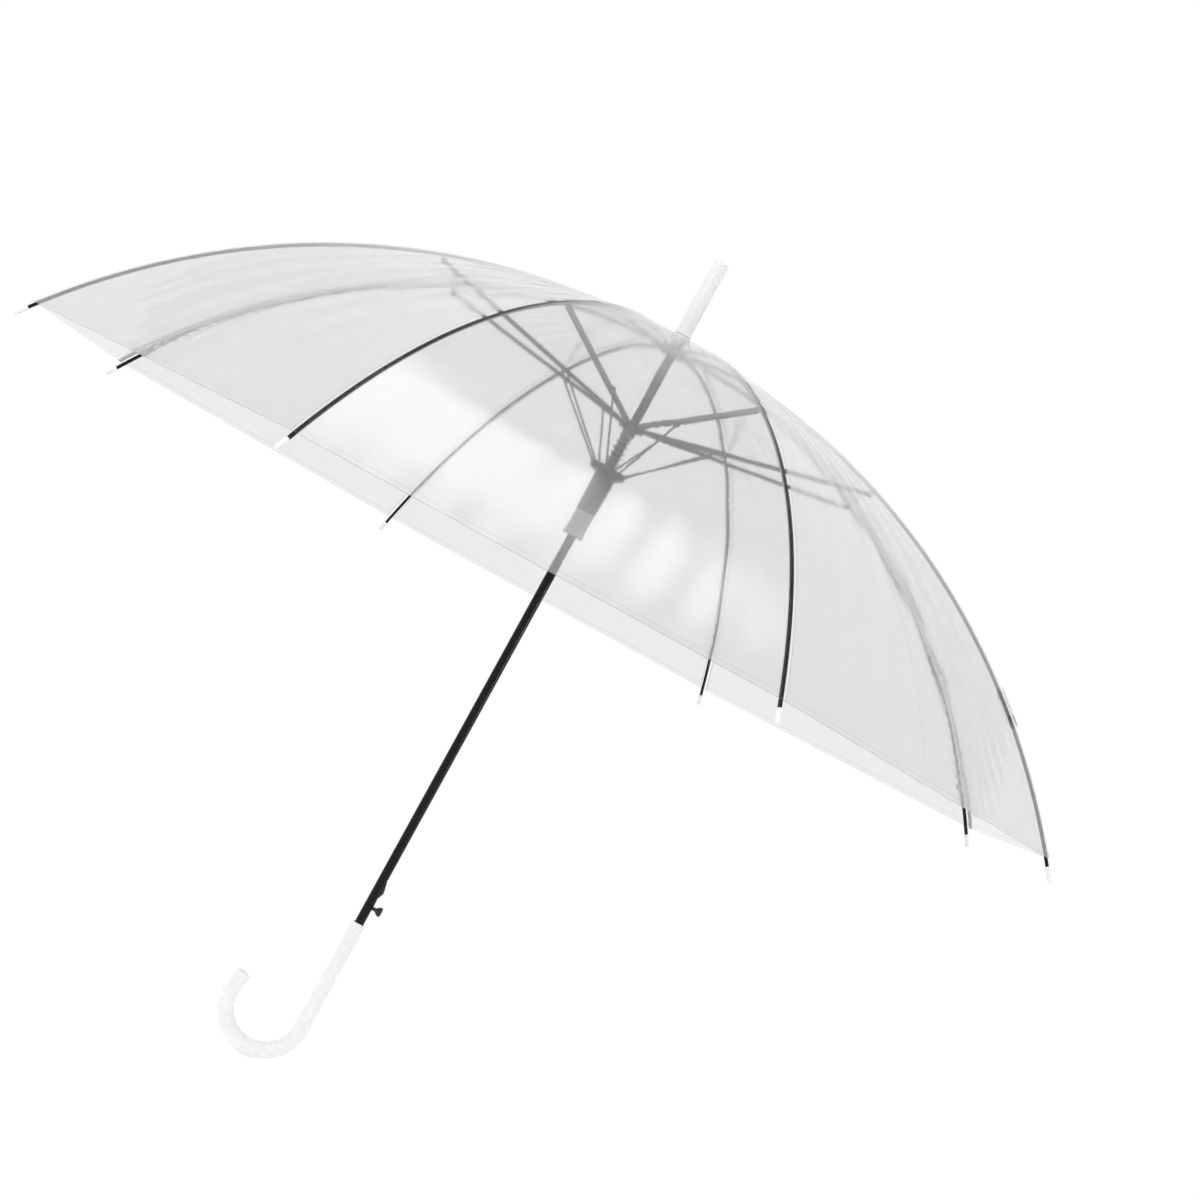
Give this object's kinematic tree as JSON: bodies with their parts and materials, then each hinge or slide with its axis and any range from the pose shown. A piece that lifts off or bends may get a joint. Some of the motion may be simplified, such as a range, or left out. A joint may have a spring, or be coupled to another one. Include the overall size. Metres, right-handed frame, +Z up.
{
  "type": "stick umbrella",
  "caption": "Clear-film stick umbrella, open, with a hooked handle, a folding rib frame, a sliding runner pair and a push-button release.",
  "frame": {"origin": "on the shaft's axis at the lowest point of the hooked handle", "axes": "+Z up the shaft to the ferrule; the hook curls towards -X and the button faces +X"},
  "size_m": [0.8966, 0.8966, 0.7678],
  "materials": {
    "film": "clear glossy film, slightly smoky, with welded seams and a turned hem",
    "strap": "clear film strap with a moulded snap",
    "handle": "white glossy moulded plastic",
    "ferrule": "white satin moulded plastic",
    "top_cap": "white satin moulded plastic with a black rim",
    "tips": "white moulded plastic",
    "shaft": "gloss black enamelled steel tube",
    "ribs": "black enamelled spring steel",
    "stretchers": "grey plated pressed steel channel",
    "struts": "grey plated steel wire",
    "spring": "bright spring wire",
    "crown": "black moulded nylon",
    "upper_runner": "black moulded nylon",
    "lower_runner": "smoky moulded plastic",
    "button": "black moulded plastic",
    "catch": "black pressed steel"
  },
  "bodies": {
    "frame": {"shaft": "shaft", "handle": "handle", "ferrule": "ferrule", "top_cap": "top_cap", "crown": "crown", "canopy": "film"},
    "rib_1_inner": {"rib_1_inner": "ribs"},
    "rib_1_middle": {"rib_1_middle": "ribs"},
    "rib_1_outer": {"rib_1_outer": "ribs", "rib_1_tip": "tips"},
    "stretcher_1": {"stretcher_1": "stretchers"},
    "strut_1": {"strut_1": "struts"},
    "rib_2_inner": {"rib_2_inner": "ribs"},
    "rib_2_middle": {"rib_2_middle": "ribs"},
    "rib_2_outer": {"rib_2_outer": "ribs", "rib_2_tip": "tips"},
    "stretcher_2": {"stretcher_2": "stretchers"},
    "strut_2": {"strut_2": "struts"},
    "rib_3_inner": {"rib_3_inner": "ribs"},
    "rib_3_middle": {"rib_3_middle": "ribs"},
    "rib_3_outer": {"rib_3_outer": "ribs", "rib_3_tip": "tips"},
    "stretcher_3": {"stretcher_3": "stretchers"},
    "strut_3": {"strut_3": "struts"},
    "rib_4_inner": {"rib_4_inner": "ribs"},
    "rib_4_middle": {"rib_4_middle": "ribs"},
    "rib_4_outer": {"rib_4_outer": "ribs", "rib_4_tip": "tips"},
    "stretcher_4": {"stretcher_4": "stretchers"},
    "strut_4": {"strut_4": "struts"},
    "rib_5_inner": {"rib_5_inner": "ribs"},
    "rib_5_middle": {"rib_5_middle": "ribs"},
    "rib_5_outer": {"rib_5_outer": "ribs", "rib_5_tip": "tips"},
    "stretcher_5": {"stretcher_5": "stretchers"},
    "strut_5": {"strut_5": "struts"},
    "rib_6_inner": {"rib_6_inner": "ribs"},
    "rib_6_middle": {"rib_6_middle": "ribs"},
    "rib_6_outer": {"rib_6_outer": "ribs", "rib_6_tip": "tips"},
    "stretcher_6": {"stretcher_6": "stretchers"},
    "strut_6": {"strut_6": "struts"},
    "rib_7_inner": {"rib_7_inner": "ribs"},
    "rib_7_middle": {"rib_7_middle": "ribs"},
    "rib_7_outer": {"rib_7_outer": "ribs", "rib_7_tip": "tips"},
    "stretcher_7": {"stretcher_7": "stretchers"},
    "strut_7": {"strut_7": "struts"},
    "rib_8_inner": {"rib_8_inner": "ribs"},
    "rib_8_middle": {"rib_8_middle": "ribs"},
    "rib_8_outer": {"rib_8_outer": "ribs", "rib_8_tip": "tips", "tie_strap": "strap"},
    "stretcher_8": {"stretcher_8": "stretchers"},
    "strut_8": {"strut_8": "struts"},
    "upper_runner": {"upper_runner": "upper_runner"},
    "lower_runner": {"lower_runner": "lower_runner", "opening_spring": "spring"},
    "release_button": {"release_button": "button"},
    "runner_catch": {"runner_catch": "catch"}
  },
  "joints": [
    {"name": "rib_1_fold", "type": "hinge", "parent": "frame", "child": "rib_1_inner", "pos_m": [0.00831, 0.00344, 0.68276], "axis": [-0.3827, 0.9239, 0], "range_deg": [0, 78.39], "stiffness_Nm_per_rad": 0.2, "springref_deg": -114.59, "deforming": ["canopy"]},
    {"name": "rib_1_first_bend", "type": "hinge", "parent": "rib_1_inner", "child": "rib_1_middle", "pos_m": [0.19937, 0.08258, 0.64952], "axis": [-0.3827, 0.9239, 0], "range_deg": [-19.55, 0]},
    {"name": "rib_1_second_bend", "type": "hinge", "parent": "rib_1_middle", "child": "rib_1_outer", "pos_m": [0.33063, 0.13695, 0.57033], "axis": [-0.3827, 0.9239, 0], "range_deg": [-15.14, 0]},
    {"name": "stretcher_1_pin", "type": "hinge", "parent": "rib_1_inner", "child": "stretcher_1", "pos_m": [0.19494, 0.08075, 0.64677], "axis": [-0.3827, 0.9239, 0], "range_deg": [-156.8, 0]},
    {"name": "strut_1_pin", "type": "hinge", "parent": "stretcher_1", "child": "strut_1", "pos_m": [0.07107, 0.02944, 0.62288], "axis": [-0.3827, 0.9239, 0], "range_deg": [0, 27.08]},
    {"name": "rib_2_fold", "type": "hinge", "parent": "frame", "child": "rib_2_inner", "pos_m": [0.00344, 0.00831, 0.68276], "axis": [-0.9239, 0.3827, 0], "range_deg": [0, 78.41], "stiffness_Nm_per_rad": 0.2, "springref_deg": -114.59},
    {"name": "rib_2_first_bend", "type": "hinge", "parent": "rib_2_inner", "child": "rib_2_middle", "pos_m": [0.08258, 0.19937, 0.64952], "axis": [-0.9239, 0.3827, 0], "range_deg": [-19.55, 0]},
    {"name": "rib_2_second_bend", "type": "hinge", "parent": "rib_2_middle", "child": "rib_2_outer", "pos_m": [0.13695, 0.33063, 0.57033], "axis": [-0.9239, 0.3827, 0], "range_deg": [-15.14, 0]},
    {"name": "stretcher_2_pin", "type": "hinge", "parent": "rib_2_inner", "child": "stretcher_2", "pos_m": [0.08075, 0.19494, 0.64677], "axis": [-0.9239, 0.3827, 0], "range_deg": [-156.8, 0]},
    {"name": "strut_2_pin", "type": "hinge", "parent": "stretcher_2", "child": "strut_2", "pos_m": [0.02944, 0.07107, 0.62288], "axis": [-0.9239, 0.3827, 0], "range_deg": [0, 27.08]},
    {"name": "rib_3_fold", "type": "hinge", "parent": "frame", "child": "rib_3_inner", "pos_m": [-0.00344, 0.00831, 0.68276], "axis": [-0.9239, -0.3827, 0], "range_deg": [0, 78.41], "stiffness_Nm_per_rad": 0.2, "springref_deg": -114.59},
    {"name": "rib_3_first_bend", "type": "hinge", "parent": "rib_3_inner", "child": "rib_3_middle", "pos_m": [-0.08258, 0.19937, 0.64952], "axis": [-0.9239, -0.3827, 0], "range_deg": [-19.55, 0]},
    {"name": "rib_3_second_bend", "type": "hinge", "parent": "rib_3_middle", "child": "rib_3_outer", "pos_m": [-0.13695, 0.33063, 0.57033], "axis": [-0.9239, -0.3827, 0], "range_deg": [-15.14, 0]},
    {"name": "stretcher_3_pin", "type": "hinge", "parent": "rib_3_inner", "child": "stretcher_3", "pos_m": [-0.08075, 0.19494, 0.64677], "axis": [-0.9239, -0.3827, 0], "range_deg": [-156.8, 0]},
    {"name": "strut_3_pin", "type": "hinge", "parent": "stretcher_3", "child": "strut_3", "pos_m": [-0.02944, 0.07107, 0.62288], "axis": [-0.9239, -0.3827, 0], "range_deg": [0, 27.08]},
    {"name": "rib_4_fold", "type": "hinge", "parent": "frame", "child": "rib_4_inner", "pos_m": [-0.00831, 0.00344, 0.68276], "axis": [-0.3827, -0.9239, 0], "range_deg": [0, 78.41], "stiffness_Nm_per_rad": 0.2, "springref_deg": -114.59},
    {"name": "rib_4_first_bend", "type": "hinge", "parent": "rib_4_inner", "child": "rib_4_middle", "pos_m": [-0.19937, 0.08258, 0.64952], "axis": [-0.3827, -0.9239, 0], "range_deg": [-19.55, 0]},
    {"name": "rib_4_second_bend", "type": "hinge", "parent": "rib_4_middle", "child": "rib_4_outer", "pos_m": [-0.33063, 0.13695, 0.57033], "axis": [-0.3827, -0.9239, 0], "range_deg": [-15.14, 0]},
    {"name": "stretcher_4_pin", "type": "hinge", "parent": "rib_4_inner", "child": "stretcher_4", "pos_m": [-0.19494, 0.08075, 0.64677], "axis": [-0.3827, -0.9239, 0], "range_deg": [-156.8, 0]},
    {"name": "strut_4_pin", "type": "hinge", "parent": "stretcher_4", "child": "strut_4", "pos_m": [-0.07107, 0.02944, 0.62288], "axis": [-0.3827, -0.9239, 0], "range_deg": [0, 27.08]},
    {"name": "rib_5_fold", "type": "hinge", "parent": "frame", "child": "rib_5_inner", "pos_m": [-0.00831, -0.00344, 0.68276], "axis": [0.3827, -0.9239, 0], "range_deg": [0, 78.41], "stiffness_Nm_per_rad": 0.2, "springref_deg": -114.59},
    {"name": "rib_5_first_bend", "type": "hinge", "parent": "rib_5_inner", "child": "rib_5_middle", "pos_m": [-0.19937, -0.08258, 0.64952], "axis": [0.3827, -0.9239, 0], "range_deg": [-19.55, 0]},
    {"name": "rib_5_second_bend", "type": "hinge", "parent": "rib_5_middle", "child": "rib_5_outer", "pos_m": [-0.33063, -0.13695, 0.57033], "axis": [0.3827, -0.9239, 0], "range_deg": [-15.14, 0]},
    {"name": "stretcher_5_pin", "type": "hinge", "parent": "rib_5_inner", "child": "stretcher_5", "pos_m": [-0.19494, -0.08075, 0.64677], "axis": [0.3827, -0.9239, 0], "range_deg": [-156.8, 0]},
    {"name": "strut_5_pin", "type": "hinge", "parent": "stretcher_5", "child": "strut_5", "pos_m": [-0.07107, -0.02944, 0.62288], "axis": [0.3827, -0.9239, 0], "range_deg": [0, 27.08]},
    {"name": "rib_6_fold", "type": "hinge", "parent": "frame", "child": "rib_6_inner", "pos_m": [-0.00344, -0.00831, 0.68276], "axis": [0.9239, -0.3827, 0], "range_deg": [0, 78.41], "stiffness_Nm_per_rad": 0.2, "springref_deg": -114.59},
    {"name": "rib_6_first_bend", "type": "hinge", "parent": "rib_6_inner", "child": "rib_6_middle", "pos_m": [-0.08258, -0.19937, 0.64952], "axis": [0.9239, -0.3827, 0], "range_deg": [-19.55, 0]},
    {"name": "rib_6_second_bend", "type": "hinge", "parent": "rib_6_middle", "child": "rib_6_outer", "pos_m": [-0.13695, -0.33063, 0.57033], "axis": [0.9239, -0.3827, 0], "range_deg": [-15.14, 0]},
    {"name": "stretcher_6_pin", "type": "hinge", "parent": "rib_6_inner", "child": "stretcher_6", "pos_m": [-0.08075, -0.19494, 0.64677], "axis": [0.9239, -0.3827, 0], "range_deg": [-156.8, 0]},
    {"name": "strut_6_pin", "type": "hinge", "parent": "stretcher_6", "child": "strut_6", "pos_m": [-0.02944, -0.07107, 0.62288], "axis": [0.9239, -0.3827, 0], "range_deg": [0, 27.08]},
    {"name": "rib_7_fold", "type": "hinge", "parent": "frame", "child": "rib_7_inner", "pos_m": [0.00344, -0.00831, 0.68276], "axis": [0.9239, 0.3827, 0], "range_deg": [0, 78.41], "stiffness_Nm_per_rad": 0.2, "springref_deg": -114.59},
    {"name": "rib_7_first_bend", "type": "hinge", "parent": "rib_7_inner", "child": "rib_7_middle", "pos_m": [0.08258, -0.19937, 0.64952], "axis": [0.9239, 0.3827, 0], "range_deg": [-19.55, 0]},
    {"name": "rib_7_second_bend", "type": "hinge", "parent": "rib_7_middle", "child": "rib_7_outer", "pos_m": [0.13695, -0.33063, 0.57033], "axis": [0.9239, 0.3827, 0], "range_deg": [-15.14, 0]},
    {"name": "stretcher_7_pin", "type": "hinge", "parent": "rib_7_inner", "child": "stretcher_7", "pos_m": [0.08075, -0.19494, 0.64677], "axis": [0.9239, 0.3827, 0], "range_deg": [-156.8, 0]},
    {"name": "strut_7_pin", "type": "hinge", "parent": "stretcher_7", "child": "strut_7", "pos_m": [0.02944, -0.07107, 0.62288], "axis": [0.9239, 0.3827, 0], "range_deg": [0, 27.08]},
    {"name": "rib_8_fold", "type": "hinge", "parent": "frame", "child": "rib_8_inner", "pos_m": [0.00831, -0.00344, 0.68276], "axis": [0.3827, 0.9239, 0], "range_deg": [0, 78.41], "stiffness_Nm_per_rad": 0.2, "springref_deg": -114.59},
    {"name": "rib_8_first_bend", "type": "hinge", "parent": "rib_8_inner", "child": "rib_8_middle", "pos_m": [0.19937, -0.08258, 0.64952], "axis": [0.3827, 0.9239, 0], "range_deg": [-19.55, 0]},
    {"name": "rib_8_second_bend", "type": "hinge", "parent": "rib_8_middle", "child": "rib_8_outer", "pos_m": [0.33063, -0.13695, 0.57033], "axis": [0.3827, 0.9239, 0], "range_deg": [-15.14, 0]},
    {"name": "stretcher_8_pin", "type": "hinge", "parent": "rib_8_inner", "child": "stretcher_8", "pos_m": [0.19494, -0.08075, 0.64677], "axis": [0.3827, 0.9239, 0], "range_deg": [-156.8, 0]},
    {"name": "strut_8_pin", "type": "hinge", "parent": "stretcher_8", "child": "strut_8", "pos_m": [0.07107, -0.02944, 0.62288], "axis": [0.3827, 0.9239, 0], "range_deg": [0, 27.08]},
    {"name": "upper_runner_pivot", "type": "hinge", "parent": "stretcher_1", "child": "upper_runner", "pos_m": [0.00831, 0.00344, 0.61078], "axis": [-0.3827, 0.9239, 0], "range_deg": [0, 78.41]},
    {"name": "lower_runner_slide", "type": "slide", "parent": "upper_runner", "child": "lower_runner", "axis": [0, 0, 1], "range_m": [0, 0.02751], "deforming": ["opening_spring"]},
    {"name": "button_press", "type": "slide", "parent": "frame", "child": "release_button", "axis": [-1, 0, 0], "range_m": [0, 0.003], "stiffness_N_per_m": 300, "springref_m": -0.005},
    {"name": "catch_slide", "type": "slide", "parent": "frame", "child": "runner_catch", "axis": [-1, 0, 0], "range_m": [0, 0.00241]}
  ],
  "couplings": [
    {"joint": "rib_1_first_bend", "follows": "rib_1_fold", "ratio": -0.24917},
    {"joint": "rib_1_second_bend", "follows": "rib_1_fold", "ratio": -0.19286},
    {"joint": "stretcher_1_pin", "follows": "rib_1_fold", "ratio": -2},
    {"joint": "strut_1_pin", "follows": "rib_1_fold", "ratio": 0.34517},
    {"joint": "rib_2_fold", "follows": "rib_1_fold", "ratio": 1},
    {"joint": "rib_2_first_bend", "follows": "rib_1_fold", "ratio": -0.24917},
    {"joint": "rib_2_second_bend", "follows": "rib_1_fold", "ratio": -0.19286},
    {"joint": "stretcher_2_pin", "follows": "rib_1_fold", "ratio": -2},
    {"joint": "strut_2_pin", "follows": "rib_1_fold", "ratio": 0.34517},
    {"joint": "rib_3_fold", "follows": "rib_1_fold", "ratio": 1},
    {"joint": "rib_3_first_bend", "follows": "rib_1_fold", "ratio": -0.24917},
    {"joint": "rib_3_second_bend", "follows": "rib_1_fold", "ratio": -0.19286},
    {"joint": "stretcher_3_pin", "follows": "rib_1_fold", "ratio": -2},
    {"joint": "strut_3_pin", "follows": "rib_1_fold", "ratio": 0.34517},
    {"joint": "rib_4_fold", "follows": "rib_1_fold", "ratio": 1},
    {"joint": "rib_4_first_bend", "follows": "rib_1_fold", "ratio": -0.24917},
    {"joint": "rib_4_second_bend", "follows": "rib_1_fold", "ratio": -0.19286},
    {"joint": "stretcher_4_pin", "follows": "rib_1_fold", "ratio": -2},
    {"joint": "strut_4_pin", "follows": "rib_1_fold", "ratio": 0.34517},
    {"joint": "rib_5_fold", "follows": "rib_1_fold", "ratio": 1},
    {"joint": "rib_5_first_bend", "follows": "rib_1_fold", "ratio": -0.24917},
    {"joint": "rib_5_second_bend", "follows": "rib_1_fold", "ratio": -0.19286},
    {"joint": "stretcher_5_pin", "follows": "rib_1_fold", "ratio": -2},
    {"joint": "strut_5_pin", "follows": "rib_1_fold", "ratio": 0.34517},
    {"joint": "rib_6_fold", "follows": "rib_1_fold", "ratio": 1},
    {"joint": "rib_6_first_bend", "follows": "rib_1_fold", "ratio": -0.24917},
    {"joint": "rib_6_second_bend", "follows": "rib_1_fold", "ratio": -0.19286},
    {"joint": "stretcher_6_pin", "follows": "rib_1_fold", "ratio": -2},
    {"joint": "strut_6_pin", "follows": "rib_1_fold", "ratio": 0.34517},
    {"joint": "rib_7_fold", "follows": "rib_1_fold", "ratio": 1},
    {"joint": "rib_7_first_bend", "follows": "rib_1_fold", "ratio": -0.24917},
    {"joint": "rib_7_second_bend", "follows": "rib_1_fold", "ratio": -0.19286},
    {"joint": "stretcher_7_pin", "follows": "rib_1_fold", "ratio": -2},
    {"joint": "strut_7_pin", "follows": "rib_1_fold", "ratio": 0.34517},
    {"joint": "rib_8_fold", "follows": "rib_1_fold", "ratio": 1},
    {"joint": "rib_8_first_bend", "follows": "rib_1_fold", "ratio": -0.24917},
    {"joint": "rib_8_second_bend", "follows": "rib_1_fold", "ratio": -0.19286},
    {"joint": "stretcher_8_pin", "follows": "rib_1_fold", "ratio": -2},
    {"joint": "strut_8_pin", "follows": "rib_1_fold", "ratio": 0.34517},
    {"joint": "upper_runner_pivot", "follows": "rib_1_fold", "ratio": 1},
    {"joint": "lower_runner_slide", "follows": "rib_1_fold", "m_per_rad": 0.020092},
    {"joint": "catch_slide", "follows": "button_press", "ratio": 0.8}
  ]
}
